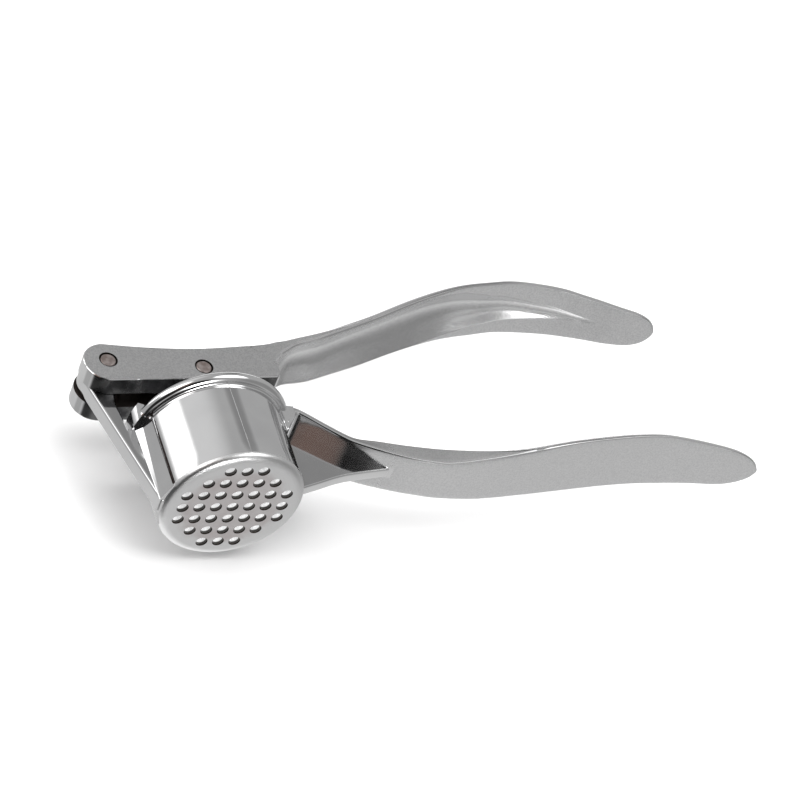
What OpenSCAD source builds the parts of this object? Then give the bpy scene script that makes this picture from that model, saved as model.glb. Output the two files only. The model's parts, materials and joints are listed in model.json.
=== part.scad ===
// Garlic press with a cast basket, lying on its side.
// X runs along the handles, Y from the sieve up to the top handle, Z along the pins.

/* [Basket] */
// Bore of the basket
basket_bore_d = 30.4; // [26:0.2:36]
// Wall of the basket
basket_wall = 1.8; // [1.4:0.1:2.6]
// Height from the sieve's outer face to the rim
basket_h = 24.4; // [20:0.2:30]
// Thickness of the sieve at the bottom of the basket
sieve_t = 2; // [1.6:0.1:3]
// Pitch of the square grid of holes
hole_pitch = 4; // [3.4:0.1:4.4]
// Diameter of each hole
hole_d = 2.4; // [1.6:0.1:2.8]
// How far the rim stands out from the wall
rim_out = 2; // [1:0.1:3]
// Height of the rim's bead
rim_h = 2.6; // [2:0.1:4]
// Height of the shoulder above the rim, where the arm joins
shoulder_h = 1.6; // [0.5:0.1:2]
// Width of the shoulder along the rim
shoulder_w = 12.8; // [8:0.2:16]

/* [Pivot] */
// Pin diameter, the same for both pins
pin_d = 3.6; // [3:0.1:5]
// Running clearance around a pin, on the radius
pin_gap = 0.05; // [0.02:0.01:0.1]
// Distance from the basket's wall back to the pivot
pivot_back = 4.9; // [4.5:0.1:8]
// Height of the pivot above the rim
pivot_rise = 14.2; // [12:0.2:20]
// Thickness of the arm and of the tongue on its end
tongue_t = 4.3; // [3:0.1:6]
// Radius of the tongue's round end
tongue_r = 5.4; // [4.5:0.1:6]

/* [Top handle] */
// Width across the two cheeks
cheek_w = 14; // [11:0.2:18]
// Side clearance between a cheek and the tongue or the stem
cheek_gap = 0.15; // [0.05:0.01:0.3]
// Radius of the cheeks' round end
cheek_r = 5.7; // [5:0.1:8]
// How far the pin sits above the middle of the cheeks' round end
cheek_drop = 0.6; // [0:0.1:1]
// How far the cheeks' lower corner stands past the rim's outer edge
cheek_past = 0.4; // [-2:0.1:1]
// Thickness of the roof that joins the cheeks
roof_t = 1.8; // [1.2:0.1:2.2]
// Length of the top handle from the basket's axis to its tip
top_len = 130; // [110:1:170]
// Widest part of the top grip
top_w = 18.4; // [15:0.2:24]
// Height of the crown on the top grip's back
top_crown = 4.6; // [3.5:0.1:6]
// Deepest part of the hollow under the top handle
hollow_d = 3.8; // [1:0.1:4]

/* [Bottom handle] */
// Length of the bottom handle from the basket's axis to its tip
bottom_len = 141; // [110:1:180]
// Widest part of the bottom grip
bottom_w = 17.6; // [15:0.2:24]
// Width of the bottom handle's neck
neck_w = 12.6; // [10:0.2:15]
// Height of the crown on the bottom grip's back
bottom_crown = 4; // [3:0.1:6]
// Height of the side walls where the bottom handle's neck is deepest
neck_wall = 4.8; // [4:0.1:6.5]
// Thickness of the web under the bottom handle
web_t = 2.9; // [2:0.1:4]

/* [Plunger] */
// Gap between the plunger and the basket's wall, on the radius
plunger_gap = 2.4; // [2:0.1:3]
// Thickness of the plunger's disc
plunger_t = 3; // [2:0.1:4]
// Distance from the pivot pin to the plunger's pin
pin_reach = 22.9; // [20:0.1:30]
// Width of the plunger's stem
stem_w = 9; // [7:0.1:11]
// Diameter of the stem's round end, around its pin
stem_end_d = 7.2; // [6:0.1:7.4]
// Gap left between the plunger and the sieve when closed
sieve_gap = 0.3; // [0.2:0.1:1]
// How far back the disc sits from the basket's axis when closed
disc_back = 1.8; // [1.2:0.1:2]

/* [Pose] */
// How far the press is open as drawn, in degrees from closed
open_angle = 11.5; // [9:0.5:12]
// How much the plunger tips for each degree the handle opens
tip_ratio = 0.24; // [0.2:0.01:0.26]

/* [Hidden] */
$fn = 96;
arc_steps = 10;
curve_steps = 3;
edge_r = 1;
bead_r = 1.1;
// Least metal between a hole and the bore's wall.
hole_land = 0.8;
// Softened edge of the plunger's disc.
disc_edge = 0.6;
through = 60;
basket_r = basket_bore_d / 2 + basket_wall;
rim_r = basket_r + rim_out;
pin_r = pin_d / 2;
bore_r = pin_r + pin_gap;
fork_w = tongue_t + 2 * cheek_gap;
pivot = [-basket_r - pivot_back, basket_h + pivot_rise];
// The plunger's pin lies below the pivot by this angle when the press is as drawn.
pin_angle = 5.3;
plunger_at = pivot + pin_reach * [cos(pin_angle), -sin(pin_angle)];
closed_at = pivot + pin_reach * [cos(pin_angle + open_angle), -sin(pin_angle + open_angle)];
plunger_tip = tip_ratio * open_angle;
plunger_r = basket_bore_d / 2 - plunger_gap;
cheek_end = pivot - [0.3, cheek_drop];
cheek_corner_x = rim_r + cheek_past;
// Lowest stretch of the cheeks' top edge, above the basket.
cheek_top = cheek_end[1] + cheek_r - 1.4;
cheek_low = cheek_end[1] - cheek_r;
// The cheeks' lower edge rises by this much from the round end to its corner.
cheek_rise = 0.9;
// Each grip is lofted through stations. A station holds: share of the grip's length, height of the
// underside, half width, height of the side walls, height of the crown, depth of the hollow and its
// half width as a share of the grip's.
top_x0 = rim_r + 1;
top_run = top_len - top_x0;
top_half_w = top_w / 2;
cheek_half = cheek_w / 2;
top_stations = [
    [0, 17.5, cheek_half - 0.1, 2.2, 0.2, 0, 0.9],
    [0.036, 18, cheek_half + 0.05, 2.3, 0.5, 0.1 * hollow_d, 0.93],
    [0.063, 19, cheek_half + 0.3, 2.3, 0.9, 0.26 * hollow_d, 0.94],
    [0.12, 20.5, 0.86 * top_half_w, 2.1, 0.43 * top_crown, 0.58 * hollow_d, 0.94],
    [0.188, 23.2, 0.9 * top_half_w, 1.5, 0.74 * top_crown, 0.84 * hollow_d, 0.94],
    [0.26, 26.2, 0.93 * top_half_w, 1.1, 0.91 * top_crown, 0.95 * hollow_d, 0.94],
    [0.357, 30.8, 0.97 * top_half_w, 0.9, 0.98 * top_crown, hollow_d, 0.94],
    [0.433, 34, 0.99 * top_half_w, 0.8, top_crown, 0.95 * hollow_d, 0.92],
    [0.504, 36.4, top_half_w, 0.6, top_crown, 0.8 * hollow_d, 0.8],
    [0.577, 37.7, 0.99 * top_half_w, 0.6, 0.98 * top_crown, 0.6 * hollow_d, 0.58],
    [0.65, 38.5, 0.96 * top_half_w, 0.7, 0.91 * top_crown, 0.4 * hollow_d, 0.42],
    [0.752, 37.2, 0.89 * top_half_w, 1.1, 0.78 * top_crown, 0.16 * hollow_d, 0.26],
    [0.82, 35.2, 0.8 * top_half_w, 1.2, 0.7 * top_crown, 0.04 * hollow_d, 0.12],
    [0.882, 33, 0.72 * top_half_w, 1.3, 0.65 * top_crown, 0, 0.1],
    [0.946, 31, 0.64 * top_half_w, 1.2, 0.6 * top_crown, 0, 0.1],
    [0.976, 30.3, 0.48 * top_half_w, 1.1, 0.5 * top_crown, 0, 0.1],
    [0.993, 30, 0.28 * top_half_w, 1, 0.35 * top_crown, 0, 0.1],
    [1, 29.9, 0.08 * top_half_w, 0.9, 0.15 * top_crown, 0, 0.1]
];
bottom_x0 = basket_r;
bottom_run = bottom_len - bottom_x0;
bottom_half_w = bottom_w / 2;
neck_half = neck_w / 2;
bottom_stations = [
    [0, 22.5, neck_half + 0.8, 1.5, 0.2, 0, 0.5],
    [0.026, 21.9, neck_half + 0.7, 1.8, 0.4, 0, 0.5],
    [0.07, 17.9, neck_half + 0.3, 2, 0.6, 0, 0.5],
    [0.108, 14.3, neck_half + 0.1, 2, 0.8, 0, 0.5],
    [0.131, 12.7, neck_half + 0.05, 2.1, 1, 0, 0.5],
    [0.167, 10.8, neck_half, 0.68 * neck_wall, 1.2, 0, 0.5],
    [0.222, 8.5, neck_half - 0.2, 0.92 * neck_wall, 1.3, 0, 0.5],
    [0.262, 7.3, neck_half - 0.2, neck_wall, 1.3, 0, 0.5],
    [0.31, 6.4, neck_half, neck_wall, 1.4, 0, 0.5],
    [0.397, 6.9, 0.84 * bottom_half_w, 0.58 * neck_wall, 0.6 * bottom_crown, 0, 0.5],
    [0.484, 8.3, 0.92 * bottom_half_w, 0.25 * neck_wall, 0.85 * bottom_crown, 0, 0.5],
    [0.58, 10.2, 0.99 * bottom_half_w, 0.1 * neck_wall, bottom_crown, 0, 0.5],
    [0.683, 11.6, bottom_half_w, 0.1 * neck_wall, bottom_crown, 0, 0.5],
    [0.754, 12.1, 0.99 * bottom_half_w, 0.1 * neck_wall, bottom_crown, 0, 0.5],
    [0.802, 11.8, 0.95 * bottom_half_w, 0.1 * neck_wall, 0.97 * bottom_crown, 0, 0.5],
    [0.865, 10.8, 0.84 * bottom_half_w, 0.1 * neck_wall, 0.95 * bottom_crown, 0, 0.5],
    [0.929, 9.3, 0.72 * bottom_half_w, 0.1 * neck_wall, 0.85 * bottom_crown, 0, 0.5],
    [0.963, 8.6, 0.58 * bottom_half_w, 0.1 * neck_wall, 0.7 * bottom_crown, 0, 0.5],
    [0.988, 8, 0.36 * bottom_half_w, 0.1 * neck_wall, 0.45 * bottom_crown, 0, 0.5],
    [1, 7.8, 0.1 * bottom_half_w, 0.1 * neck_wall, 0.2 * bottom_crown, 0, 0.5]
];

// One point of a smooth curve between b and c, with a and d as its neighbours.
function blend(a, b, c, d, t) =
    0.5 * (2 * b + (c - a) * t + (2 * a - 5 * b + 4 * c - d) * t * t
    + (3 * b - a - 3 * c + d) * t * t * t);
// A smooth curve through all the points p.
function curve(p) = [
    for (i = [0 : len(p) - 2], j = [0 : curve_steps - 1])
        blend(p[max(i - 1, 0)], p[i], p[i + 1], p[min(i + 2, len(p) - 1)], j / curve_steps),
    p[len(p) - 1]
];
// An arc about c from angle a to angle b.
function arc(c, r, a, b) =
    [for (i = [0 : arc_steps]) let (t = a + (b - a) * i / arc_steps) c + r * [cos(t), sin(t)]];

// Lines of a grip that pass through its stations: underside, back, half width and hollow.
function under_line(st, x0, run, y0) = [for (s = curve(st)) [x0 + s[0] * run, y0 + s[1]]];
function back_line(st, x0, run, y0) = [for (s = curve(st)) [x0 + s[0] * run, y0 + s[1] + s[3] + s[4]]];
function side_line(st, x0, run) = [for (s = curve(st)) [x0 + s[0] * run, s[2]]];
function hollow_line(st, x0, run) = [for (s = curve(st)) [x0 + s[0] * run, s[2] * s[6]]];
function roof_line(st, x0, run, y0) = [for (s = curve(st)) [x0 + s[0] * run, y0 + s[1] + 0.8 * s[5] - 0.01]];
function backwards(p) = [for (i = [len(p) - 1 : -1 : 0]) p[i]];

top_back = back_line(top_stations, top_x0, top_run, basket_h);

// The part's origin: the middle of its length and height, on the surface it lies on.
x_low = cheek_end[0] - cheek_r;
y_high = max([for (p = top_back) p[1]]);
origin_shift = [-(x_low + bottom_len) / 2, -y_high / 2, rim_r];

// Turns a shape drawn about +Z so that it stands along +Y.
module upright() {
    rotate([-90, 0, 0]) children();
}

module slab(t) {
    translate([0, 0, -t / 2]) linear_extrude(t) children();
}

// A plan outline in X and Z, mirrored about the middle, as a tall block.
module plan(half) {
    upright()
        linear_extrude(3 * through)
            polygon(concat(half, [for (p = backwards(half)) [p[0], -p[1]]]));
}

module grip(stations, x0, run, y0) {
    intersection() {
        slab(through)
            polygon(concat(under_line(stations, x0, run, y0), backwards(back_line(stations, x0, run, y0))));
        plan(side_line(stations, x0, run));
    }
}

module pivot_bore(at) {
    translate([at[0], at[1], -through / 2]) cylinder(h = through, r = bore_r);
}

// Cup with a rounded foot and a beaded rim, drawn about +Z.
module cup_body() {
    rotate_extrude($fn = 128)
        polygon(concat(
            [[0, 0], [basket_r - edge_r, 0]],
            arc([basket_r - edge_r, edge_r], edge_r, -90, 0),
            arc([rim_r - bead_r, basket_h - rim_h + bead_r], bead_r, -90, 0),
            arc([rim_r - bead_r, basket_h - bead_r], bead_r, 0, 90),
            [[0, basket_h]]));
}

// The thick shoulder on the rim where the arm meets it.
module shoulder() {
    intersection() {
        upright() cylinder(h = basket_h + shoulder_h, r = rim_r - 0.2);
        translate([-rim_r, basket_h - rim_h / 2, -shoulder_w / 2])
            cube([rim_r - basket_bore_d / 2 + 2, rim_h + shoulder_h, shoulder_w]);
    }
}

// As many holes of the square grid as leave enough metal inside the bore's wall.
module sieve_holes() {
    grid = floor(basket_bore_d / 2 / hole_pitch);
    for (i = [-grid : grid], j = [-grid : grid])
        if (norm([i, j]) * hole_pitch + hole_d / 2 < basket_bore_d / 2 - hole_land)
            translate([i * hole_pitch, 0, j * hole_pitch])
                upright() translate([0, 0, -1]) cylinder(h = sieve_t + 2, d = hole_d, $fn = 32);
}

// Arm from the foot of the basket up to the round tongue, as one flat plate.
module arm() {
    tangent = pivot - [tongue_r, 1.5];
    slab(tongue_t) {
        translate(pivot) circle(r = tongue_r);
        polygon([[-basket_r + edge_r, 0.4], [-basket_r - 0.5, 0.4], tangent, pivot,
            [pivot[0] + 1.2, pivot[1] - tongue_r + 0.4], [-rim_r - 0.9, basket_h - rim_h],
            [-basket_r + 1, basket_h - rim_h]]);
    }
}

// Flats that blend the arm into the basket's wall on both sides.
module arm_flats() {
    reach = 0.39 * basket_r;
    upright()
        linear_extrude(basket_h - rim_h)
            polygon([[-basket_r - 0.8, -tongue_t / 2], [-basket_r + 0.9, -reach],
                [-basket_bore_d / 2, 0], [-basket_r + 0.9, reach],
                [-basket_r - 0.8, tongue_t / 2]]);
}

module bottom_web() {
    tuck = 1.4;
    slab(web_t)
        polygon([[basket_r - 1, 3.6], [basket_r + 13, 7.6], [basket_r + 25, 7.6 + tuck], [basket_r + 20, 10 + tuck],
            [basket_r + 13.5, 14.3 + tuck], [basket_r + 3.2, 21.9 + tuck], [basket_r - 1, basket_h - rim_h]]);
}

module lower_handle() {
    color("silver")
    translate(origin_shift)
        difference() {
            union() {
                upright() cup_body();
                shoulder();
                arm();
                arm_flats();
                grip(bottom_stations, bottom_x0, bottom_run, 0);
                bottom_web();
            }
            translate([0, sieve_t, 0]) upright() cylinder(h = basket_h + shoulder_h, d = basket_bore_d, $fn = 128);
            sieve_holes();
            pivot_bore(pivot);
        }
}

// Cheeks seen from the side, from the round end out to the step behind the rim.
module cheek_shape() {
    back = curve([cheek_end + [0, cheek_r], cheek_end + [11, cheek_r - 0.9], [1, cheek_top],
        [rim_r - 5, basket_h + 19], [top_x0 + 3, basket_h + 20.6]]);
    step_r = 5.4;
    corner_r = 1.2;
    step_x = cheek_corner_x + 0.5 + step_r;
    translate(cheek_end) circle(r = cheek_r);
    polygon(concat(
        back,
        [[step_x, basket_h + 20.6], [step_x, basket_h + 17.8]],
        arc([step_x, basket_h + 17.8 - step_r], step_r, 90, 180),
        arc([cheek_corner_x - corner_r, cheek_low + cheek_rise + corner_r], corner_r, 0, -88),
        [[cheek_end[0], cheek_low]]));
}

// Long hollow under the top grip that narrows to a point.
module hollow() {
    roof = roof_line(top_stations, top_x0, top_run, basket_h);
    tip = len(top_stations) - 5;
    intersection() {
        slab(through)
            polygon(concat(backwards([for (i = [curve_steps : curve_steps * tip]) roof[i]]),
                [[top_x0 + 4, cheek_low], [top_len, cheek_low]]));
        plan(hollow_line(top_stations, top_x0, top_run));
    }
}

// Room between the cheeks for the tongue and the swinging stem.
module fork() {
    roof_x = pivot[0] + tongue_r + 3;
    back_x = plunger_at[0] + stem_w / 2 + 2.5;
    roof_y = cheek_top - roof_t;
    slab(fork_w)
        polygon([[x_low - 1, cheek_low - 1], [x_low - 1, cheek_end[1] + cheek_r + 1],
            [roof_x, cheek_end[1] + cheek_r + 1], [roof_x, roof_y], [back_x, roof_y], [back_x, cheek_low - 1]]);
}

module upper_handle() {
    color("silver")
    translate(origin_shift)
        difference() {
            union() {
                slab(cheek_w) cheek_shape();
                grip(top_stations, top_x0, top_run, basket_h);
            }
            hollow();
            fork();
            pivot_bore(pivot);
            pivot_bore(plunger_at);
        }
}

// Drawn closed, with the plunger's pin at the origin, then tipped as the press opens.
module plunger() {
    foot = sieve_t + sieve_gap - closed_at[1];
    disc_x = -disc_back - closed_at[0];
    color("gainsboro")
    translate(origin_shift)
        translate([plunger_at[0], plunger_at[1], 0])
            rotate([0, 0, plunger_tip])
                difference() {
                    union() {
                        translate([disc_x, foot, 0])
                            upright()
                                rotate_extrude()
                                    polygon([[0, 0], [plunger_r - disc_edge, 0], [plunger_r, disc_edge],
                                        [plunger_r, plunger_t - disc_edge], [plunger_r - disc_edge, plunger_t],
                                        [stem_w * 0.7, plunger_t], [stem_w * 0.4, plunger_t + 2],
                                        [0, plunger_t + 2]]);
                        slab(tongue_t) {
                            circle(d = stem_end_d);
                            polygon([[-stem_end_d / 2, 0], [disc_x - stem_w / 2, foot + plunger_t + 3],
                                [disc_x - plunger_r * 0.6, foot + plunger_t / 2],
                                [disc_x + plunger_r * 0.6, foot + plunger_t / 2],
                                [disc_x + stem_w / 2, foot + plunger_t + 3], [stem_end_d / 2, 0]]);
                        }
                    }
                    pivot_bore([0, 0]);
                }
}

module pin(at) {
    color("rosybrown")
    translate(origin_shift + [at[0], at[1], -cheek_w / 2])
        cylinder(h = cheek_w, r = pin_r);
}

module pivot_pin() {
    pin(pivot);
}

module plunger_pin() {
    pin(plunger_at);
}

lower_handle();
upper_handle();
plunger();
pivot_pin();
plunger_pin();
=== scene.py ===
"""Looks of a cast garlic press that lies on its side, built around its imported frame."""

import json
import math

import bmesh
import bpy
from mathutils import Matrix, Vector


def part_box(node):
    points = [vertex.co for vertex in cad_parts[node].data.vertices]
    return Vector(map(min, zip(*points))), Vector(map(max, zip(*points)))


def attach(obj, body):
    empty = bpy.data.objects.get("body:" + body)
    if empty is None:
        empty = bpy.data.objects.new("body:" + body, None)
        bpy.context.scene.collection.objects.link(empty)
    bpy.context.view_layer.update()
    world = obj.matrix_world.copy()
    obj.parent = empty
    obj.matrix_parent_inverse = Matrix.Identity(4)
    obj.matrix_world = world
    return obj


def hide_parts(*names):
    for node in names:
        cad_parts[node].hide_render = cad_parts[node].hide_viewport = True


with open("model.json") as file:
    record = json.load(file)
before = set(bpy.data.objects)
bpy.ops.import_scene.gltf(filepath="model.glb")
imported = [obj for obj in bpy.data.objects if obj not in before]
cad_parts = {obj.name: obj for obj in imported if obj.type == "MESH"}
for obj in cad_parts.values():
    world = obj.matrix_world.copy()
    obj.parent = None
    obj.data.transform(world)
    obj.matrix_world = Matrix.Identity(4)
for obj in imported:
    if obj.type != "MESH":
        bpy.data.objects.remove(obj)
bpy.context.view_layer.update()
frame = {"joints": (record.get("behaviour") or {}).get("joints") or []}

MM = 0.001

# ---------------------------------------------------------------- places taken from the frame
bottom_low, bottom_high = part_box("lower_handle")
top_low, top_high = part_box("upper_handle")
pin_low, pin_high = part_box("pivot_pin")
joint_at = {joint["name"]: Vector(joint["pos_m"]) for joint in frame["joints"]}

BOTTOM_LENGTH = 141.0
# Middle of the sieve's outer face: everything below is measured from here, in millimetres.
foot = Vector((bottom_high.x - BOTTOM_LENGTH * MM, bottom_low.y, (bottom_low.z + bottom_high.z) / 2))
pivot = (joint_at["handle_hinge"] - foot) / MM
plunger_pin = (joint_at["plunger_hinge"] - foot) / MM
top_tip = (top_high.x - foot.x) / MM
RIM_R = (bottom_high.z - bottom_low.z) / MM / 2
PIN_R = (pin_high.x - pin_low.x) / MM / 2
CHEEK_HALF = (pin_high.z - pin_low.z) / MM / 2

# ---------------------------------------------------------------- sizes in millimetres
# Basket and sieve.
BORE_R = 15.2
WALL = 1.8
BASKET_R = BORE_R + WALL
BASKET_H = 24.4
FACE_R = 14.7
SIEVE_T = 2.0
RIM_H = 2.6
SHOULDER_H = 1.6
HOLE_R = 1.2
HOLE_PITCH = 4.0
HOLE_FLARE = 0.2
HOLE_STEPS = 3
# Arm, cheeks, web and softened edges.
TONGUE_HALF = 2.15
FORK_HALF = 2.3
TONGUE_R = 5.4
CHEEK_R = 5.7
CHEEK_DROP = 0.6
EDGE = 0.5
GRIP_EDGE = 0.7
WEB_HALF = 1.45
# Plunger, pins and the grooves round the pins.
PLUNGER_R = 12.8
PLUNGER_T = 3.0
PLUNGER_BACK = 1.8
SIEVE_GAP = 0.3
STEM_R = 3.6
PIN_PLAY = 0.05
PIN_SHORT = 0.04
GROOVE = 0.42
GROOVE_DEPTH = 0.5
# Angles in degrees: the press as drawn against closed, the line of the two pins, and the plunger's lean.
OPEN_ANGLE = 11.5
PIN_LINE = 5.3
PLUNGER_TIP = 2.76


def metres(x, y, z):
    """A point measured from the foot of the basket, in the frame's metres."""
    return foot + Vector((x, y, z)) * MM


# ---------------------------------------------------------------- curves
def blend(a, b, c, d, t):
    """One point of a smooth curve between b and c, with a and d as its neighbours."""
    return [
        0.5 * (2 * q + (r - p) * t + (2 * p - 5 * q + 4 * r - s) * t * t + (3 * q - p - 3 * r + s) * t ** 3)
        for p, q, r, s in zip(a, b, c, d)
    ]


def curve(points, steps):
    """A smooth curve through rows of numbers of any width."""
    rows = []
    last = len(points) - 1
    for i in range(last):
        around = (points[max(i - 1, 0)], points[i], points[i + 1], points[min(i + 2, last)])
        rows += [blend(*around, j / steps) for j in range(steps)]
    return rows + [list(points[-1])]


def arc(cx, cy, radius, start, end, steps):
    """Points on an arc, from one angle to another, in degrees."""
    angles = [math.radians(start + (end - start) * i / steps) for i in range(steps + 1)]
    return [(cx + radius * math.cos(a), cy + radius * math.sin(a)) for a in angles]


def at_x(line, x):
    """Height of a line of (x, y) points where it passes x."""
    for (x0, y0), (x1, y1) in zip(line, line[1:]):
        if x0 <= x <= x1:
            return y0 + (y1 - y0) * (x - x0) / max(x1 - x0, 1e-9)
    return line[0][1] if x < line[0][0] else line[-1][1]


# ---------------------------------------------------------------- meshes
def mesh_object(name, points, faces):
    """A mesh from points in millimetres about the foot."""
    data = bpy.data.meshes.new(name)
    data.from_pydata([metres(*p) for p in points], [], faces)
    data.validate()
    made = bpy.data.objects.new(name, data)
    bpy.context.scene.collection.objects.link(made)
    shell = bmesh.new()
    shell.from_mesh(data)
    bmesh.ops.recalc_face_normals(shell, faces=shell.faces)
    shell.to_mesh(data)
    shell.free()
    return made


def loft(name, rings):
    """A closed solid through rings of equal length."""
    n = len(rings[0])
    points = [p for ring in rings for p in ring]
    faces = [list(range(n)), [(len(rings) - 1) * n + j for j in range(n)]]
    for i in range(len(rings) - 1):
        for j in range(n):
            k = (j + 1) % n
            faces.append([i * n + j, i * n + k, (i + 1) * n + k, (i + 1) * n + j])
    return mesh_object(name, points, faces)


def lathe(name, profile, segments, middle=(0.0, 0.0, 0.0)):
    """A solid turned about an upright axis in Y. The profile runs from axis to axis in (radius, height)."""
    cx, cy, cz = middle
    points = [(cx, cy + profile[0][1], cz), (cx, cy + profile[-1][1], cz)]
    inner = profile[1:-1]
    for i in range(segments):
        a = 2 * math.pi * i / segments
        points += [(cx + r * math.cos(a), cy + y, cz + r * math.sin(a)) for r, y in inner]
    m = len(inner)
    faces = []
    for i in range(segments):
        here, there = 2 + i * m, 2 + (i + 1) % segments * m
        faces.append([0, here, there])
        faces.append([1, there + m - 1, here + m - 1])
        faces += [[here + k, here + k + 1, there + k + 1, there + k] for k in range(m - 1)]
    return mesh_object(name, points, faces)


def soften(piece, edge, segments):
    """Rounds the edges of a plate, apart from the shallow ones inside its outline."""
    shell = bmesh.new()
    shell.from_mesh(piece.data)
    steep = [e for e in shell.edges if len(e.link_faces) == 2 and e.calc_face_angle() > math.radians(50)]
    rounding = {"offset": edge * MM, "segments": segments, "profile": 0.5}
    bmesh.ops.bevel(shell, geom=steep, affect="EDGES", clamp_overlap=True, **rounding)
    bmesh.ops.recalc_face_normals(shell, faces=shell.faces)
    shell.to_mesh(piece.data)
    shell.free()


def slab(name, outline, half, edge=EDGE, segments=3):
    """A flat plate of a side outline, with softened edges."""
    n = len(outline)
    points = [(x, y, -half) for x, y in outline] + [(x, y, half) for x, y in outline]
    faces = [list(range(n)), list(range(n, 2 * n))]
    faces += [[j, (j + 1) % n, n + (j + 1) % n, n + j] for j in range(n)]
    made = mesh_object(name, points, faces)
    if edge:
        soften(made, edge, segments)
    return made


def rod(name, x, y, radius, z0, z1, segments=64, chamfer=0.0):
    """A round bar along Z, with optional chamfers."""
    stations = [(z0, radius), (z1, radius)]
    if chamfer:
        small = radius - chamfer
        stations = [(z0, small), (z0 + chamfer, radius), (z1 - chamfer, radius), (z1, small)]
    angles = [2 * math.pi * i / segments for i in range(segments)]
    return loft(name, [[(x + r * math.cos(a), y + r * math.sin(a), z) for a in angles] for z, r in stations])


def combine(target, tool, operation):
    """Joins or cuts one solid with another and removes the tool."""
    cut = target.modifiers.new("combine", "BOOLEAN")
    cut.operation = operation
    cut.object = tool
    cut.solver = "MANIFOLD"
    cut.material_mode = "TRANSFER"
    graph = bpy.context.evaluated_depsgraph_get()
    data = bpy.data.meshes.new_from_object(target.evaluated_get(graph))
    target.modifiers.clear()
    target.data = data
    bpy.data.objects.remove(tool)


def finish_surface(piece, sharp_degrees=28.0):
    """Cleans the mesh, then shades it smoothly with crisp edges and level flats."""
    shell = bmesh.new()
    shell.from_mesh(piece.data)
    bmesh.ops.remove_doubles(shell, verts=shell.verts, dist=0.000002)
    bmesh.ops.dissolve_degenerate(shell, edges=shell.edges, dist=0.000001)
    shell.to_mesh(piece.data)
    shell.free()
    piece.data.shade_smooth()
    piece.data.set_sharp_from_angle(angle=math.radians(sharp_degrees))
    level = piece.modifiers.new("level_flats", "WEIGHTED_NORMAL")
    level.keep_sharp = True
    level.weight = 60
    return piece


# ---------------------------------------------------------------- shader maths
class Value:
    """A shader socket that takes part in ordinary sums."""

    def __init__(self, finish, socket):
        self.finish = finish
        self.socket = socket

    def maths(self, operation, *others, clamp=False):
        settings = {"operation": operation, "use_clamp": clamp}
        return self.finish.node("ShaderNodeMath", settings, dict(enumerate((self, *others))))

    def __add__(self, other):
        return self.maths("ADD", other)

    __radd__ = __add__

    def __mul__(self, other):
        return self.maths("MULTIPLY", other)

    __rmul__ = __mul__

    def __sub__(self, other):
        return self.maths("SUBTRACT", other)

    def __rsub__(self, other):
        return (self * -1) + other

    def clamped(self):
        return self.maths("ADD", 0.0, clamp=True)

    def smooth(self, low, high):
        """0 below low, 1 above high, and a smooth rise between."""
        settings = {"interpolation_type": "SMOOTHSTEP"}
        return self.finish.node("ShaderNodeMapRange", settings, {0: self, 1: low, 2: high, 3: 0.0, 4: 1.0})


class Finish:
    """A node tree that is built by plain calls."""

    def __init__(self, tree):
        self.tree = tree

    def node(self, kind, settings=None, inputs=None, output=0):
        """Adds a node: its settings first, then the values or links of its sockets."""
        made = self.tree.nodes.new(kind)
        for name, value in (settings or {}).items():
            setattr(made, name, value)
        for name, value in (inputs or {}).items():
            if isinstance(value, Value):
                self.tree.links.new(value.socket, made.inputs[name])
            else:
                made.inputs[name].default_value = value
        return Value(self, made.outputs[output]) if made.outputs else None

    def place(self):
        """Place on the object, in metres, which never slides when the press opens."""
        return self.node("ShaderNodeTexCoord", output="Object")

    def noise(self, where, scale, detail=2.0, roughness=0.5):
        settings = {"noise_dimensions": "3D"}
        inputs = {"Vector": where, "Scale": scale, "Detail": detail, "Roughness": roughness}
        return self.node("ShaderNodeTexNoise", settings, inputs, "Fac")

    def stretched(self, where, x, y, z):
        return self.node("ShaderNodeVectorMath", {"operation": "MULTIPLY"}, {0: where, 1: (x, y, z)})

    def away(self, where, point):
        """Distance of a place from a point, in metres."""
        settings = {"operation": "DISTANCE"}
        return self.node("ShaderNodeVectorMath", settings, {0: where, 1: tuple(point)}, "Value")

    def mix(self, factor, first, second):
        return self.node("ShaderNodeMix", {"data_type": "RGBA"}, {0: factor, 6: first, 7: second}, 2)

    def bump(self, height, distance, strength=1.0):
        inputs = {"Height": height, "Distance": distance, "Strength": strength}
        return self.node("ShaderNodeBump", None, inputs, "Normal")


def metal(name, build):
    """A metal whose inputs come from build(finish)."""
    material = bpy.data.materials.new(name)
    material.use_nodes = True
    tree = material.node_tree
    tree.nodes.clear()
    finish = Finish(tree)
    inputs = {"Metallic": 1.0, **build(finish)}
    surface = finish.node("ShaderNodeBsdfPrincipled", None, inputs)
    finish.node("ShaderNodeOutputMaterial", None, {"Surface": surface})
    return material


def polished_plate(finish):
    """Bright plate: faint ripple left by polishing, hairline scratches and a slightly cloudy bloom."""
    where = finish.place()
    cloud = finish.noise(where, 60.0, 3.0)
    ripple = finish.noise(where, 220.0, 2.0)
    scratch = finish.noise(finish.stretched(where, 250.0, 2600.0, 900.0), 1.0, 3.0, 0.7)
    tone = finish.mix(cloud.smooth(0.3, 0.75), (0.76, 0.76, 0.765, 1), (0.86, 0.86, 0.86, 1))
    return {
        "Base Color": tone,
        "Roughness": 0.04 + cloud * 0.07 + scratch.smooth(0.6, 0.8) * 0.06,
        "Normal": finish.bump(ripple * 0.7 + scratch * 0.05, 0.00004, 0.5),
    }


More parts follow.
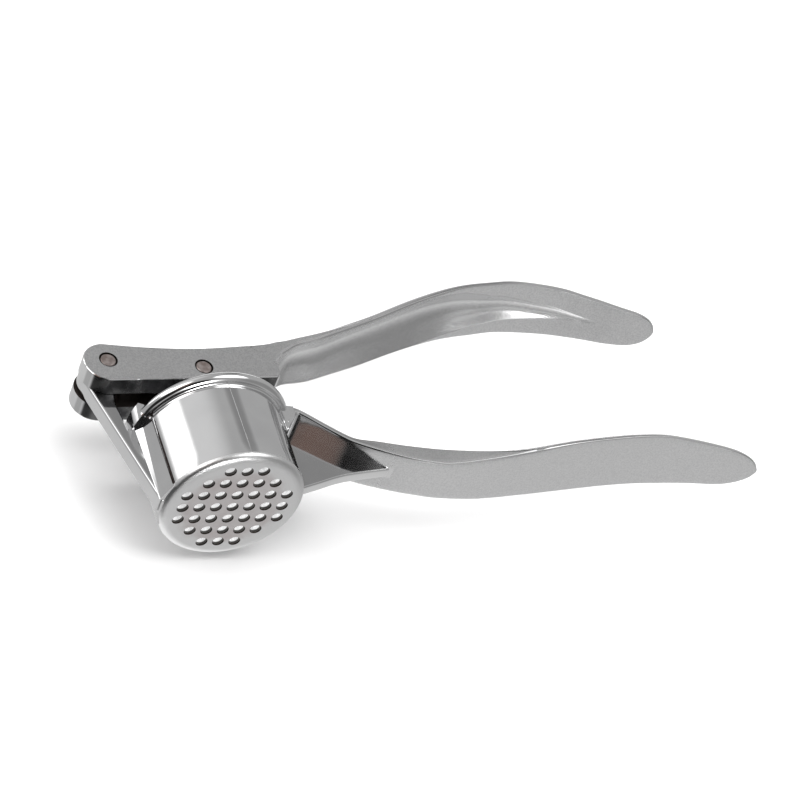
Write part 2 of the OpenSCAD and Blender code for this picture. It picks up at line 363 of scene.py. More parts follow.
def scoop_plate(finish):
    """The hollow of the top grip and the back edges of the bottom one: bright but still softly grained."""
    where = finish.place()
    grain = finish.noise(where, 2400.0, 3.0, 0.65)
    stroke = finish.noise(finish.stretched(where, 90.0, 700.0, 500.0), 1.0, 3.0, 0.6)
    tone = finish.mix(grain.smooth(0.3, 0.7), (0.74, 0.74, 0.745, 1), (0.88, 0.88, 0.88, 1))
    return {
        "Base Color": tone,
        "Roughness": 0.13 + stroke * 0.1 + grain * 0.04,
        "Normal": finish.bump(grain * 0.6 + stroke, 0.00004, 0.45),
    }


def satin_plate(finish):
    """Plate over a fine blasted grain, on the cheeks and the top grip."""
    where = finish.place()
    grain = finish.noise(where, 2600.0, 3.0, 0.65)
    fleck = finish.noise(where, 900.0, 2.0)
    cloud = finish.noise(where, 45.0, 3.0)
    tone = finish.mix(grain.smooth(0.3, 0.7), (0.66, 0.66, 0.665, 1), (0.84, 0.84, 0.84, 1))
    return {
        "Base Color": tone,
        "Roughness": 0.25 + cloud * 0.08 + grain * 0.06,
        "Normal": finish.bump(grain + fleck * 0.6, 0.00003, 0.5),
    }


def lower_grip_plate(finish):
    """The bottom handle: mirror bright at the basket, then the same satin grain as the rest."""
    where = finish.place()
    grain = finish.noise(where, 2600.0, 3.0, 0.65)
    fleck = finish.noise(where, 900.0, 2.0)
    cloud = finish.noise(where, 45.0, 3.0)
    blasted = (finish.away(where, foot) + cloud * 0.006).smooth(0.036, 0.049)
    speckle = (0.3 + grain.smooth(0.3, 0.7) * 0.7) * blasted + (1 - blasted) * 0.6
    tone = finish.mix(speckle, (0.66, 0.66, 0.665, 1), (0.86, 0.86, 0.86, 1))
    return {
        "Base Color": tone,
        "Roughness": 0.08 + cloud * 0.06 + blasted * (0.16 + grain * 0.06),
        "Normal": finish.bump((grain + fleck * 0.6) * (0.1 + blasted * 0.9), 0.00003, 0.5),
    }


def sieve_plate(finish):
    """The sieve's face: pale satin, with a faint warm, darker tone inside the ring of holes."""
    where = finish.place()
    grain = finish.noise(where, 2400.0, 3.0, 0.65)
    fleck = finish.noise(where, 420.0, 3.0)
    cloud = finish.noise(where, 160.0, 4.0, 0.6)
    inside = 1 - (finish.away(where, foot) + fleck * 0.004).smooth(0.0125, 0.0155)
    inner_tone = (inside * (0.3 + cloud.smooth(0.3, 0.7) * 0.4 + grain * 0.4)).clamped()
    tone = finish.mix(inner_tone, (0.80, 0.80, 0.80, 1), (0.62, 0.57, 0.565, 1))
    return {
        "Base Color": tone,
        "Roughness": 0.28 + fleck * 0.10,
        "Normal": finish.bump(grain + fleck * 0.8 + cloud, 0.00006, 0.7),
    }


def crushing_face(finish):
    """The plunger's face: left as cast, so matt and pale, with fine pits."""
    where = finish.place()
    grain = finish.noise(where, 1500.0, 4.0, 0.7)
    pits = finish.noise(where, 500.0, 2.0).smooth(0.6, 0.75)
    return {
        "Base Color": finish.mix(grain, (0.80, 0.80, 0.80, 1), (0.95, 0.95, 0.95, 1)),
        "Roughness": 0.6 + grain * 0.2,
        "Normal": finish.bump(grain - pits, 0.00006, 0.6),
    }


def painted_dark_reflection(finish):
    """The underside of the cheeks: painted shade and dark reflection in its colour, with a faint polish."""
    where = finish.place()
    cloud = finish.noise(where, 260.0, 3.0)
    return {
        "Base Color": finish.mix(cloud.smooth(0.35, 0.7), (0.05, 0.05, 0.052, 1), (0.2, 0.2, 0.2, 1)),
        "Roughness": 0.16 + cloud * 0.2,
        "Normal": finish.bump(cloud, 0.00008, 0.5),
    }


def hole_wall_painted_light(finish):
    """The wall of a sieve hole: painted shade near its mouth, and a painted glow deeper in, where it is pale
    and lit of its own.
    """
    where = finish.place()
    height = finish.node("ShaderNodeSeparateXYZ", None, {"Vector": where}, "Y")
    painted_light_depth = (height - foot.y).smooth(0.0007, 0.0011)
    fleck = finish.noise(where, 1200.0, 3.0)
    return {
        "Base Color": finish.mix(painted_light_depth, (0.10, 0.095, 0.09, 1), (0.92, 0.92, 0.92, 1)),
        "Roughness": 0.3 + fleck * 0.2,
        # Painted glow: the deeper part of the wall gives off light of its own.
        "Emission Color": finish.mix(painted_light_depth, (0, 0, 0, 1), (0.45, 0.45, 0.45, 1)),
        "Emission Strength": 1.0,
    }


def groove_painted_shade(finish):
    """Grooves round the pins, creases and the mouths of the holes: painted shade, dark where shade falls in
    them.
    """
    fleck = finish.noise(finish.place(), 1200.0, 3.0)
    return {
        "Base Color": finish.mix(fleck, (0.02, 0.017, 0.015, 1), (0.08, 0.065, 0.06, 1)),
        "Roughness": 0.45 + fleck * 0.25,
        "Normal": finish.bump(fleck, 0.00004, 0.5),
    }


def turned_end(at):
    """Bare pin steel, with rings from the lathe on its ends."""

    def build(finish):
        where = finish.place()
        level = finish.stretched(where, 1.0, 1.0, 0.0)
        centre = (at.x, at.y, 0.0)
        rings = (finish.away(level, centre) * 26000.0).maths("SINE") * 0.5 + 0.5
        fleck = finish.noise(where, 1500.0, 3.0)
        stain = finish.noise(where, 700.0, 3.0)
        tone = finish.mix(stain.smooth(0.35, 0.65), (0.34, 0.28, 0.26, 1), (0.52, 0.46, 0.44, 1))
        return {
            "Base Color": tone,
            "Roughness": 0.38 + fleck * 0.2,
            "Normal": finish.bump(rings * 0.6 + fleck, 0.00002, 0.7),
        }

    return build


FINISHES = {
    "polished": metal("polished_plate", polished_plate),
    "satin": metal("satin_plate", satin_plate),
    "scoop": metal("scoop_plate", scoop_plate),
    "lower_grip": metal("lower_grip_plate", lower_grip_plate),
    "sieve": metal("sieve_plate", sieve_plate),
    "as_cast": metal("crushing_face", crushing_face),
    # The walls of the sieve holes: painted shade near the mouth and a painted glow deeper in.
    "hole_wall_painted_light": metal("hole_wall_painted_light", hole_wall_painted_light),
    # The cheeks' underside: painted shade and dark reflection.
    "underside": metal("painted_dark_reflection", painted_dark_reflection),
    # Pin grooves, creases and hole mouths: painted shade.
    "groove": metal("groove_painted_shade", groove_painted_shade),
}
pivot_steel = metal("pivot_pin_steel", turned_end(joint_at["handle_hinge"]))
plunger_steel = metal("plunger_pin_steel", turned_end(joint_at["plunger_hinge"]))


def give_finishes(piece, choose):
    """Gives each face of a casting one of the finishes, by its place and the way that it faces."""
    chosen = [choose((face.center - foot) / MM, face.normal) for face in piece.data.polygons]
    used = [name for name in FINISHES if name in chosen]
    piece.data.materials.clear()
    for name in used:
        piece.data.materials.append(FINISHES[name])
    for face, name in zip(piece.data.polygons, chosen):
        face.material_index = used.index(name)


def on_edge(normal):
    """Whether a face belongs to a softened edge of a grip, which handling has rubbed bright."""
    return 0.3 < abs(normal.z) < 0.97


# ---------------------------------------------------------------- grips
def edge_radius(half, wall, crown):
    """Radius of a grip's lower edges, which shrinks where the grip is thin."""
    return min(GRIP_EDGE, (wall + crown) * 0.3, half * 0.3, wall * 0.6)


def grip_section(x, under, half, wall, crown, depth, share):
    """One ring of a grip: a scooped underside, a flat side wall with softened edges and a crowned back."""
    soft = edge_radius(half, wall, crown)
    top_soft = max(min(soft, wall * 0.4), 0.02)
    flat = half - soft
    lip = min(half * share, flat - 0.05)
    outline = []
    for i in range(17):
        z = lip * math.sin(math.pi / 2 * i / 16)
        q = z / lip
        outline.append((z, depth * (1 - q * q) * (1 - 0.35 * q * q)))
    outline += [(lip + (flat - lip) * k, 0.0) for k in (0.5, 1.0)]
    quarter = [math.pi / 6 * i for i in range(1, 4)]
    outline += [(flat + soft * math.sin(a), soft * (1 - math.cos(a))) for a in quarter]
    outline += [(half, soft + (wall - soft - top_soft) * k) for k in (0.34, 0.67, 1.0)]
    outline += [
        (half - top_soft * (1 - math.cos(a)), wall - top_soft + top_soft * math.sin(a)) for a in quarter
    ]
    inner = half - top_soft
    for i in range(1, 17):
        z = inner * math.cos(math.pi / 2 * i / 16)
        q = z / inner
        outline.append((z, wall + crown * (1 - q * q) ** 0.62))
    ring = [(x, under + y, z) for z, y in outline]
    return ring + [(x, y, -z) for x, y, z in reversed(ring[1:-1])]


TOP_X0 = RIM_R + 1
TOP_RUN = top_tip - TOP_X0
TOP_HALF = (top_high.z - top_low.z) / MM / 2
TOP_CROWN = 4.6
HOLLOW = 3.8
ROOT_HALF = CHEEK_HALF - 0.02
TIP_HALF = 0.3
STATION_STEPS = 6
# Share of the run, underside above the rim, half width, side wall, crown, hollow's depth and share.
TOP_STATIONS = [
    (-0.085, 13.6, ROOT_HALF, 5.0, 0.05, 0.0, 0.8),
    (-0.04, 13.0, ROOT_HALF, 6.2, 0.15, 0.0, 0.8),
    (-0.01, 12.9, ROOT_HALF, 6.8, 0.25, 0.0, 0.84),
    (0.002, 14.0, CHEEK_HALF, 6.1, 0.35, 0.3, 0.87),
    (0.012, 15.7, CHEEK_HALF + 0.05, 4.6, 0.5, 1.2, 0.9),
    (0.03, 17.1, CHEEK_HALF + 0.12, 3.5, 0.75, 2.0, 0.92),
    (0.062, 19.0, CHEEK_HALF + 0.35, 2.4, 1.2, 2.6, 0.94),
    (0.12, 20.5, 0.87 * TOP_HALF, 2.1, 0.45 * TOP_CROWN, 3.0, 0.95),
    (0.188, 23.2, 0.9 * TOP_HALF, 1.5, 0.74 * TOP_CROWN, 0.92 * HOLLOW, 0.95),
    (0.26, 26.2, 0.93 * TOP_HALF, 1.1, 0.91 * TOP_CROWN, HOLLOW, 0.95),
    (0.357, 30.8, 0.97 * TOP_HALF, 0.9, 0.98 * TOP_CROWN, HOLLOW, 0.95),
    (0.433, 34.0, 0.99 * TOP_HALF, 0.8, TOP_CROWN, 0.98 * HOLLOW, 0.93),
    (0.504, 36.4, TOP_HALF, 0.6, TOP_CROWN, 0.85 * HOLLOW, 0.82),
    (0.577, 37.7, 0.99 * TOP_HALF, 0.6, 0.98 * TOP_CROWN, 0.66 * HOLLOW, 0.62),
    (0.65, 38.5, 0.96 * TOP_HALF, 0.7, 0.91 * TOP_CROWN, 0.45 * HOLLOW, 0.45),
    (0.752, 37.2, 0.89 * TOP_HALF, 1.1, 0.78 * TOP_CROWN, 0.2 * HOLLOW, 0.27),
    (0.82, 35.2, 0.8 * TOP_HALF, 1.2, 0.7 * TOP_CROWN, 0.06 * HOLLOW, 0.13),
    (0.86, 33.8, 0.75 * TOP_HALF, 1.3, 0.66 * TOP_CROWN, 0.0, 0.08),
    (0.9, 32.3, 0.7 * TOP_HALF, 1.3, 0.63 * TOP_CROWN, 0.0, 0.08),
    (0.946, 31.0, 0.62 * TOP_HALF, 1.2, 0.58 * TOP_CROWN, 0.0, 0.08),
    (0.975, 30.4, 0.47 * TOP_HALF, 1.1, 0.48 * TOP_CROWN, 0.0, 0.08),
    (0.992, 30.2, 0.27 * TOP_HALF, 1.0, 0.32 * TOP_CROWN, 0.0, 0.08),
    (1.0, 30.3, 0.06 * TOP_HALF, 0.7, 0.12 * TOP_CROWN, 0.0, 0.08),
]
CHEEK_END = (pivot.x - 0.3, pivot.y - CHEEK_DROP)
CHEEK_LOW = CHEEK_END[1] - CHEEK_R
CHEEK_TOP = CHEEK_END[1] + CHEEK_R - 1.4
CORNER_X = RIM_R + 0.4
CHEEK_RISE = 0.9
FORK_ROOF = 1.8
FORK_BACK = 7.0


def cheek_outline():
    """Side outline of the flat block over the basket: round end, level underside and the foot of the step."""
    cx, cy = CHEEK_END
    corner_r = 1.2
    corner_y = CHEEK_LOW + CHEEK_RISE
    end = arc(cx, cy, CHEEK_R, 93, 271, 36)
    corner = arc(CORNER_X - corner_r, corner_y + corner_r, corner_r, -88, 0, 6)
    step = [(CORNER_X + 0.35, BASKET_H + 12.6), (CORNER_X - 1.2, BASKET_H + 15.0)]
    top = curve([(RIM_R - 5, BASKET_H + 18.9), (1.0, CHEEK_TOP), (cx + 11, cy + CHEEK_R - 1.1), end[0]], 8)
    return end + corner + step + top[:-1]


def fork_outline():
    """Side outline of the slot between the cheeks: open at the round end, with a roof over the basket."""
    left = CHEEK_END[0] - CHEEK_R - 1
    low = CHEEK_LOW - 1
    high = CHEEK_END[1] + CHEEK_R + 1
    roof_x = pivot.x + TONGUE_R + 3
    roof_y = CHEEK_TOP - FORK_ROOF
    back_x = plunger_pin.x + FORK_BACK
    return [(left, low), (back_x, low), (back_x, roof_y), (roof_x, roof_y), (roof_x, high), (left, high)]


def top_handle():
    """The forked top casting: a flat block of two cheeks that runs out into the hollow grip."""
    rings = []
    hollow_edge = []
    for run, under, half, wall, crown, depth, share in curve(TOP_STATIONS, STATION_STEPS):
        x = TOP_X0 + run * TOP_RUN
        section = grip_section(x, BASKET_H + under, max(half, TIP_HALF), wall, crown, max(depth, 0.0), share)
        rings.append(section)
        lip = min(half * share, half - edge_radius(half, wall, crown))
        hollow_edge.append((x, lip if depth > 0.15 else 0.0))
    piece = slab("top_handle_casting", cheek_outline(), CHEEK_HALF, 0.4)
    combine(piece, loft("top_grip", rings), "UNION")
    combine(piece, slab("fork_cut", fork_outline(), FORK_HALF, edge=0), "DIFFERENCE")
    for middle in (pivot, plunger_pin):
        through = CHEEK_HALF + 3
        combine(piece, rod("pin_cut", middle.x, middle.y, PIN_R + PIN_PLAY, -through, through), "DIFFERENCE")
        for side in (-1, 1):
            z0, z1 = sorted((side * (CHEEK_HALF - GROOVE_DEPTH), side * (CHEEK_HALF + 1)))
            combine(piece, rod("pin_groove", middle.x, middle.y, PIN_R + GROOVE, z0, z1), "DIFFERENCE")

    def choose(centre, normal):
        # The grooves round the pins get painted shade.
        for middle in (pivot, plunger_pin):
            if math.hypot(centre.x - middle.x, centre.y - middle.y) < PIN_R + GROOVE + 0.02:
                return "groove"
        # The flat underside over the basket gets painted shade and dark reflection.
        if normal.y < -0.75 and centre.x < CORNER_X - 1:
            return "underside"
        if normal.y < -0.1 and abs(centre.z) < at_x(hollow_edge, centre.x) - 0.05:
            return "scoop"
        if abs(normal.z) > 0.97 and abs(centre.z) > FORK_HALF + 0.3:
            return "satin"
        if on_edge(normal) or centre.x < CORNER_X + 2:
            return "satin" if normal.y > 0.9 else "polished"
        return "satin"

    give_finishes(piece, choose)
    return finish_surface(piece)


# ---------------------------------------------------------------- bottom casting
BOTTOM_X0 = BASKET_R
BOTTOM_RUN = BOTTOM_LENGTH - BOTTOM_X0
BOTTOM_HALF = 8.8
NECK_HALF = 6.3
BOTTOM_CROWN = 4.0
NECK_WALL = 4.8
# Share of the run, underside above the sieve's face, half width, side wall and crown.
BOTTOM_STATIONS = [
    (0.0, 19.2, NECK_HALF + 0.9, 4.6, 0.3),
    (0.012, 21.0, NECK_HALF + 0.85, 2.9, 0.35),
    (0.026, 21.9, NECK_HALF + 0.7, 1.8, 0.4),
    (0.043, 20.6, NECK_HALF + 0.5, 1.9, 0.5),
    (0.07, 17.9, NECK_HALF + 0.3, 2.0, 0.6),
    (0.108, 14.3, NECK_HALF + 0.1, 2.0, 0.8),
    (0.131, 12.7, NECK_HALF + 0.05, 2.1, 1.0),
    (0.167, 10.8, NECK_HALF, 0.68 * NECK_WALL, 1.2),
    (0.222, 8.5, NECK_HALF - 0.2, 0.92 * NECK_WALL, 1.3),
    (0.262, 7.3, NECK_HALF - 0.2, NECK_WALL, 1.3),
    (0.31, 6.4, NECK_HALF, NECK_WALL, 1.4),
    (0.397, 6.9, 0.84 * BOTTOM_HALF, 0.58 * NECK_WALL, 0.6 * BOTTOM_CROWN),
    (0.484, 8.3, 0.92 * BOTTOM_HALF, 0.25 * NECK_WALL, 0.85 * BOTTOM_CROWN),
    (0.58, 10.2, 0.99 * BOTTOM_HALF, 0.12 * NECK_WALL, BOTTOM_CROWN),
    (0.683, 11.6, BOTTOM_HALF, 0.12 * NECK_WALL, BOTTOM_CROWN),
    (0.754, 12.1, 0.99 * BOTTOM_HALF, 0.12 * NECK_WALL, BOTTOM_CROWN),
    (0.802, 11.8, 0.95 * BOTTOM_HALF, 0.14 * NECK_WALL, 0.97 * BOTTOM_CROWN),
    (0.865, 10.8, 0.84 * BOTTOM_HALF, 0.16 * NECK_WALL, 0.92 * BOTTOM_CROWN),
    (0.929, 9.3, 0.72 * BOTTOM_HALF, 0.18 * NECK_WALL, 0.8 * BOTTOM_CROWN),
    (0.963, 8.6, 0.57 * BOTTOM_HALF, 0.18 * NECK_WALL, 0.66 * BOTTOM_CROWN),
    (0.988, 8.1, 0.33 * BOTTOM_HALF, 0.18 * NECK_WALL, 0.42 * BOTTOM_CROWN),
    (1.0, 8.0, 0.06 * BOTTOM_HALF, 0.12 * NECK_WALL, 0.15 * BOTTOM_CROWN),
]


def bottom_rings():
    """Rings of the bottom handle from inside the basket's wall to the tip."""
    rings = []
    for run, under, half, wall, crown in curve(BOTTOM_STATIONS, STATION_STEPS):
        x = BOTTOM_X0 + run * BOTTOM_RUN
        rings.append(grip_section(x, under, max(half, TIP_HALF), wall, crown, 0.0, 0.5))
    root = [(math.sqrt((BORE_R + 0.9) ** 2 - z * z), min(y, BASKET_H - 0.6), z) for _, y, z in rings[0]]
    return [root] + rings


def cup():
    """Solid outside of the basket: dished foot, wall and rounded bead."""
    bead = RIM_H / 2
    profile = [(0, 0), (FACE_R, 0), (15.6, 0.12), (16.3, 0.42), (16.75, 0.9), (BASKET_R, 1.6)]
    profile += [(BASKET_R, 1.6 + (BASKET_H - RIM_H - 2.2) * k / 6) for k in range(1, 7)]
    profile += arc(BASKET_R + 0.6, BASKET_H - RIM_H - 0.6, 0.6, 180, 90, 4)[1:]
    profile += arc(RIM_R - bead, BASKET_H - bead, bead, -90, 90, 12)
    return lathe("basket_casting", profile + [(0, BASKET_H)], 192)


def bore_cut():
    """Inside of the basket, with a rounded lip and floor."""
    lip = 0.9
    high = BASKET_H + SHOULDER_H + 1
    profile = [(0, SIEVE_T), (BORE_R - 0.8, SIEVE_T)]
    profile += arc(BORE_R - 0.8, SIEVE_T + 0.8, 0.8, -90, 0, 5)[1:]
    profile += arc(BORE_R + lip, BASKET_H - lip, lip, 180, 90, 6)
    return lathe("bore_cut", profile + [(BORE_R + lip, high), (0, high)], 192)


def hole_places():
    """Middles of the sieve's holes: a square grid, cut to a round."""
    steps = range(-HOLE_STEPS, HOLE_STEPS + 1)
    kept = [(i, j) for i in steps for j in steps if math.hypot(i, j) < HOLE_STEPS + 0.3]
    return [(i * HOLE_PITCH, j * HOLE_PITCH) for i, j in kept]


def hole_cut(x, z):
    """One hole of the sieve, with a small chamfer on its outer end."""
    wide = HOLE_R + HOLE_FLARE
    profile = [(0, -1), (wide, -1), (wide, 0), (HOLE_R, HOLE_FLARE), (HOLE_R, SIEVE_T + 1)]
    return lathe("hole_cut", profile + [(0, SIEVE_T + 1)], 28, (x, 0, z))


def arm_outline():
    """Side outline of the arm, from the foot of the basket to the round tongue."""
    tongue = arc(pivot.x, pivot.y, TONGUE_R, 196, -70, 40)
    return [
        (-BASKET_R + 1, 0.9), (-BASKET_R - 0.4, 0.5), *tongue,
        (pivot.x + 0.9, pivot.y - TONGUE_R - 3), (-RIM_R - 0.9, BASKET_H - RIM_H),
        (-BASKET_R + 1, BASKET_H - RIM_H),
    ]


def arm_flats():
    """Flats that run the arm into the basket's wall, wider at the rim than at the foot."""
    foot_ring = [(-17.8, 2.15), (-17.6, 2.4), (-15.75, 6.7), (-14.0, 3.0)]
    rim_ring = [(-18.5, 2.15), (-17.25, 4.1), (-16.0, 6.9), (-14.0, 3.0)]
    rings = []
    for height, ring in ((0.9, foot_ring), (BASKET_H - RIM_H + 0.3, rim_ring)):
        whole = ring + [(x, -z) for x, z in reversed(ring)]
        rings.append([(x, height, z) for x, z in whole])
    return loft("arm_flats", rings)


def shoulder():
    """The thick block on the rim where the arm meets it."""
    outer = RIM_R + 0.2
    inner = BORE_R - 1
    spread = 20.0
    rows = []
    top = BASKET_H + SHOULDER_H
    for height, inset in ((BASKET_H - RIM_H - 0.15, 0.0), (top - EDGE, 0.0), (top, EDGE)):
        edge = arc(0, 0, outer - inset, 180 - spread + inset, 180 + spread - inset, 14)
        back = arc(0, 0, inner, 180 + spread, 180 - spread, 14)
        rows.append([(x, height, z) for x, z in edge + back])
    return loft("shoulder", rows)


def web_outline():
    """Side outline of the web that carries the bottom handle."""
    tuck = 1.4
    low = curve(
        [(BASKET_R - 1, 3.4), (BASKET_R + 5, 5.3), (BASKET_R + 13, 7.7), (BASKET_R + 24.5, 9.3)], 6
    )
    return [
        *low, (BASKET_R + 24, 9.6 + tuck), (BASKET_R + 20, 10.3 + tuck), (BASKET_R + 13.5, 14.3 + tuck),
        (BASKET_R + 3.2, 21.6 + tuck), (BASKET_R - 1, BASKET_H - RIM_H),
    ]


def neck_fillet(side):
    """The round inside corner where the bottom handle leaves the basket, which fades out down the wall."""
    inner = [(13.6, 7.0), (14.1, 9.5)]
    round_corner = [(14.9, 8.75), (15.8, 8.1), (16.8, 7.65), (18.0, 7.3), (19.4, 7.15), (19.4, 6.4)]
    low_levels = [(15.2, 0.0), (17.2, 0.2), (19.0, 0.5)]
    high_levels = [(20.6, 0.85), (21.8, 1.0), (BASKET_H - 0.5, 1.0)]
    rings = []
    for height, spread in low_levels + high_levels:
        ring = []
        for x, z in inner + round_corner:
            on_wall = min((BASKET_R - 0.15) / math.hypot(x, z), 1.0)
            share = on_wall + (1 - on_wall) * spread
            ring.append((x * share, height, side * z * share))
        rings.append(ring)
    return loft("neck_fillet", rings)


CREASE_FOOT = (-15.66, 6.9)
CREASE_HEAD = (-15.86, 7.1)
CREASE_R = 0.38


def crease_at(height):
    """Middle of the groove beside the arm's flat, at a height."""
    t = (height - 1.5) / (BASKET_H - RIM_H - 1.7)
    return [a + (b - a) * t for a, b in zip(CREASE_FOOT, CREASE_HEAD)]


def crease_cut(side):
    """The fine groove left where the arm's flat meets the round wall."""
    rings = []
    for height in (1.5, BASKET_H - RIM_H - 0.2):
        x, z = crease_at(height)
        rings.append([(cx, height, side * cz) for cx, cz in arc(x, z, CREASE_R, 0, 330, 11)])
    return loft("crease_cut", rings)


def seam():
    """The fine parting line that the mould leaves down the near side of the basket."""
    proud = 0.07
    wide = 0.16
    rings = []
    for height in (1.4, BASKET_H - RIM_H):
        rings.append([
            (-wide, height, BASKET_R - 0.3), (wide, height, BASKET_R - 0.3),
            (wide * 0.5, height, BASKET_R + proud), (-wide * 0.5, height, BASKET_R + proud),
        ])
    return loft("seam", rings)


def bottom_handle():
    """The bottom casting: basket, sieve, arm, web and grip in one."""
    piece = cup()
    parts = [
        slab("arm", arm_outline(), TONGUE_HALF, 0.8, 4), arm_flats(), shoulder(),
        neck_fillet(1), neck_fillet(-1),
        loft("bottom_grip", bottom_rings()), slab("web", web_outline(), WEB_HALF), seam(),
    ]
    for part in parts:
        combine(piece, part, "UNION")
    combine(piece, bore_cut(), "DIFFERENCE")
    for side in (-1, 1):
        combine(piece, crease_cut(side), "DIFFERENCE")
    for x, z in hole_places():
        combine(piece, hole_cut(x, z), "DIFFERENCE")
    combine(piece, rod("pin_cut", pivot.x, pivot.y, PIN_R + PIN_PLAY, -5, 5), "DIFFERENCE")

    def choose(centre, normal):
        round_axis = math.hypot(centre.x, centre.z)
        flat_face = centre.y < 0.05 and normal.y < -0.9
        rounded_foot = centre.y < 1.5 and normal.y < -0.15 and round_axis > FACE_R + 0.1
        if flat_face or rounded_foot:
            return "sieve"
        # The fine creases beside the arm get painted shade.
        if centre.x < -15 and 1.4 < centre.y < BASKET_H - RIM_H:
            x, z = crease_at(centre.y)
            if math.hypot(centre.x - x, abs(centre.z) - z) < CREASE_R + 0.01:
                return "groove"
        # The mouths of the holes get painted shade, and the hole walls get painted shade and a painted glow.
        if centre.y < SIEVE_T + 0.01 and round_axis < BORE_R:
            return "groove" if centre.y < HOLE_FLARE - 0.01 else "hole_wall_painted_light"
        if centre.x < RIM_R - 1 or (abs(centre.z) < 1.6 and centre.x < 42):
            return "polished"
        if on_edge(normal):
            return "polished" if normal.y < 0.5 else "scoop"
        return "lower_grip"

    give_finishes(piece, choose)
    return finish_surface(piece)


# ---------------------------------------------------------------- plunger and pins
def plunger():
    """Disc on a flat stem, made closed about its pin and then tipped to where the frame has it."""
    closed = math.radians(PIN_LINE + OPEN_ANGLE)
    reach = (plunger_pin - pivot).length
    pin_x = pivot.x + reach * math.cos(closed)
    pin_y = pivot.y - reach * math.sin(closed)
    base = SIEVE_T + SIEVE_GAP
    disc_x = -PLUNGER_BACK
    soft = 0.6
    profile = [(0, base), (PLUNGER_R - soft, base)]
    profile += arc(PLUNGER_R - soft, base + soft, soft, -90, 0, 5)[1:]
    profile += arc(PLUNGER_R - soft, base + PLUNGER_T - soft, soft, 0, 90, 5)
    profile += curve([(6.3, base + PLUNGER_T), (4.6, base + PLUNGER_T + 0.6), (3.6, base + PLUNGER_T + 2)], 4)
    piece = lathe("plunger_casting", profile + [(0, base + PLUNGER_T + 2)], 128, (disc_x, 0, 0))
    flare = base + PLUNGER_T + 3
    stem = arc(pin_x, pin_y, STEM_R, 180, 0, 24)
    stem += [(disc_x + 4.5, flare), (disc_x + PLUNGER_R * 0.6, base + PLUNGER_T / 2)]
    stem += [(disc_x - PLUNGER_R * 0.6, base + PLUNGER_T / 2), (disc_x - 4.5, flare)]
    combine(piece, slab("stem", stem, TONGUE_HALF - 0.02, 0.4), "UNION")
    combine(piece, rod("pin_cut", pin_x, pin_y, PIN_R + PIN_PLAY, -5, 5), "DIFFERENCE")
    turn = Matrix.Rotation(math.radians(PLUNGER_TIP), 4, "Z")
    to_pin = Matrix.Translation(joint_at["plunger_hinge"])
    from_closed = Matrix.Translation(-metres(pin_x, pin_y, 0))
    piece.data.transform(to_pin @ turn @ from_closed)
    give_finishes(piece, lambda centre, normal: "as_cast" if normal.y < -0.9 else "polished")
    return finish_surface(piece)


def pin(name, middle, steel):
    """A plain pin, a hair short of the cheeks, with chamfered ends."""
    half = CHEEK_HALF - PIN_SHORT
    piece = rod(name, middle.x, middle.y, PIN_R, -half, half, 96, 0.14)
    piece.data.materials.append(steel)
    return finish_surface(piece, 40.0)


made_bottom = bottom_handle()
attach(made_bottom, "bottom")
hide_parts("lower_handle")

made_top = top_handle()
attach(made_top, "top")
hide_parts("upper_handle")

made_plunger = plunger()
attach(made_plunger, "plunger")
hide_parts("plunger")

made_pivot = pin("pivot_pin_turned", pivot, pivot_steel)
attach(made_pivot, "top")
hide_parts("pivot_pin")

made_plunger_pin = pin("plunger_pin_turned", plunger_pin, plunger_steel)
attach(made_plunger_pin, "top")
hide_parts("plunger_pin")


# ---------------------------------------------------------------- floor, light and camera
def floor():
    """A plain pale floor."""
    data = bpy.data.meshes.new("floor")
    far = 1.6
    data.from_pydata([(-far, -far, 0), (far, -far, 0), (far, far, 0), (-far, far, 0)], [], [[0, 1, 2, 3]])
    made = bpy.data.objects.new("floor", data)
    bpy.context.scene.collection.objects.link(made)

    def build(finish):
        cloud = finish.noise(finish.place(), 3.0, 2.0)
        return {
            "Base Color": finish.mix(cloud, (0.93, 0.93, 0.93, 1), (0.95, 0.95, 0.95, 1)),
            "Metallic": 0.0,
            "Roughness": 0.8,
        }

    data.materials.append(metal("pale_floor", build))
    made.visible_glossy = False


def overhead_softbox():
    """A large square lamp above the press, which lights the floor and shows in no reflection."""
    data = bpy.data.lights.new("overhead_softbox", "AREA")
    data.shape = "RECTANGLE"
    data.size, data.size_y = 1.8, 1.8
    data.energy = 19.0
    lamp = bpy.data.objects.new("overhead_softbox", data)
    bpy.context.scene.collection.objects.link(lamp)
    way = Vector((0.1, 0.2, 1.0)).normalized()
    lamp.location = way * 1.3
    lamp.rotation_mode = "QUATERNION"
    lamp.rotation_quaternion = (-way).to_track_quat("-Z", "Y")
    lamp.visible_glossy = False


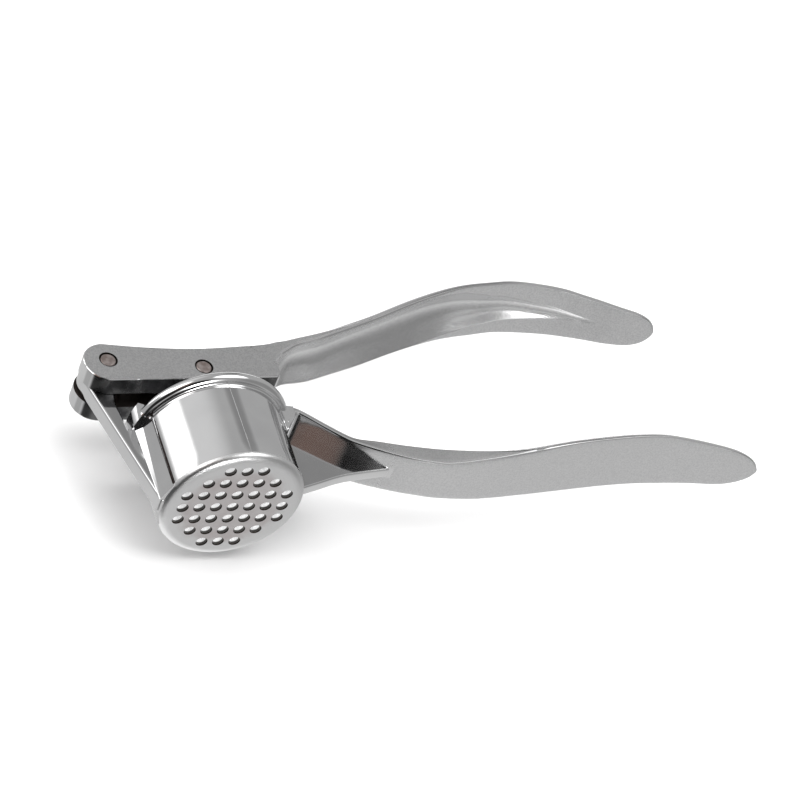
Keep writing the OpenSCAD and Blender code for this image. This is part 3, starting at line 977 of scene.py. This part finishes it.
def studio_room():
    """A soft grey room with bright windows, a few dark stretches and a pale glow from below."""
    world = bpy.data.worlds.new("studio")
    bpy.context.scene.world = world
    world.use_nodes = True
    tree = world.node_tree
    tree.nodes.clear()
    room = Finish(tree)
    way = room.node("ShaderNodeTexCoord", output="Generated")

    def patch(turn, rise, reach, soft):
        """1 inside a round patch of the room, 0 outside; all angles are in degrees."""
        turn, rise = math.radians(turn), math.radians(rise)
        aim = (math.cos(turn) * math.cos(rise), math.sin(turn) * math.cos(rise), math.sin(rise))
        near = room.node("ShaderNodeVectorMath", {"operation": "DOT_PRODUCT"}, {0: way, 1: aim}, "Value")
        return near.smooth(math.cos(math.radians(reach + soft)), math.cos(math.radians(reach - soft)))

    side_window = patch(141, 11, 14, 6) * 1.6 + patch(130, 36, 20, 18) * 0.28
    front_window = patch(-87, 6, 14, 5) * 0.9 + patch(-87, 6, 9, 3) * 7.0
    rear_window = patch(179, 42, 20, 6) * 2.0
    top_window = patch(-25, 64, 20, 5) * 2.2
    far_window = patch(65, -20, 12, 5) * 1.0
    dark_side = patch(-132, 6, 26, 7)
    for other in (patch(-131, -32, 22, 6), patch(-113, 35, 21, 7), patch(63, 19, 7, 3)):
        dark_side = dark_side.maths("MAXIMUM", other)
    dim = patch(-35, 5, 26, 12) * 0.16 + patch(57, 44, 7, 4) * 0.17 + patch(180, -42, 12, 5) * 0.2
    below = patch(0, -90, 52, 12) * 0.2
    glow = patch(0, -90, 28, 5) * 0.5
    warm = patch(-140, 45, 9, 7)
    windows = side_window + front_window + rear_window + top_window + far_window + below + glow
    strength = (0.43 + windows - dim) * (1 - dark_side * 0.96) * (1 - warm) + warm * 0.2
    tint = room.mix(warm, (1, 1, 1, 1), (1, 0.7, 0.6, 1))
    background = room.node("ShaderNodeBackground", None, {"Color": tint, "Strength": strength})
    room.node("ShaderNodeOutputWorld", None, {"Surface": background})


def place_camera():
    """Camera above the near side, looking along the press from its pivot end, turned on its own axis."""
    data = bpy.data.cameras.new("camera")
    data.lens = 135.0
    data.sensor_width = 36.0
    camera = bpy.data.objects.new("camera", data)
    bpy.context.scene.collection.objects.link(camera)
    camera.location = foot + Vector((-0.25381, -0.40073, 0.47893))
    right = Vector((0.9038, -0.2895, 0.3151))
    forward = Vector((0.4279, 0.6061, -0.6705)).normalized()
    up = right.cross(forward).normalized()
    right = forward.cross(up)
    camera.rotation_mode = "QUATERNION"
    camera.rotation_quaternion = Matrix((right, up, -forward)).transposed().to_quaternion()
    data.clip_start, data.clip_end = 0.01, 20.0
    bpy.context.scene.camera = camera


floor()
studio_room()
overhead_softbox()
place_camera()
bpy.context.scene.view_settings.view_transform = "Standard"
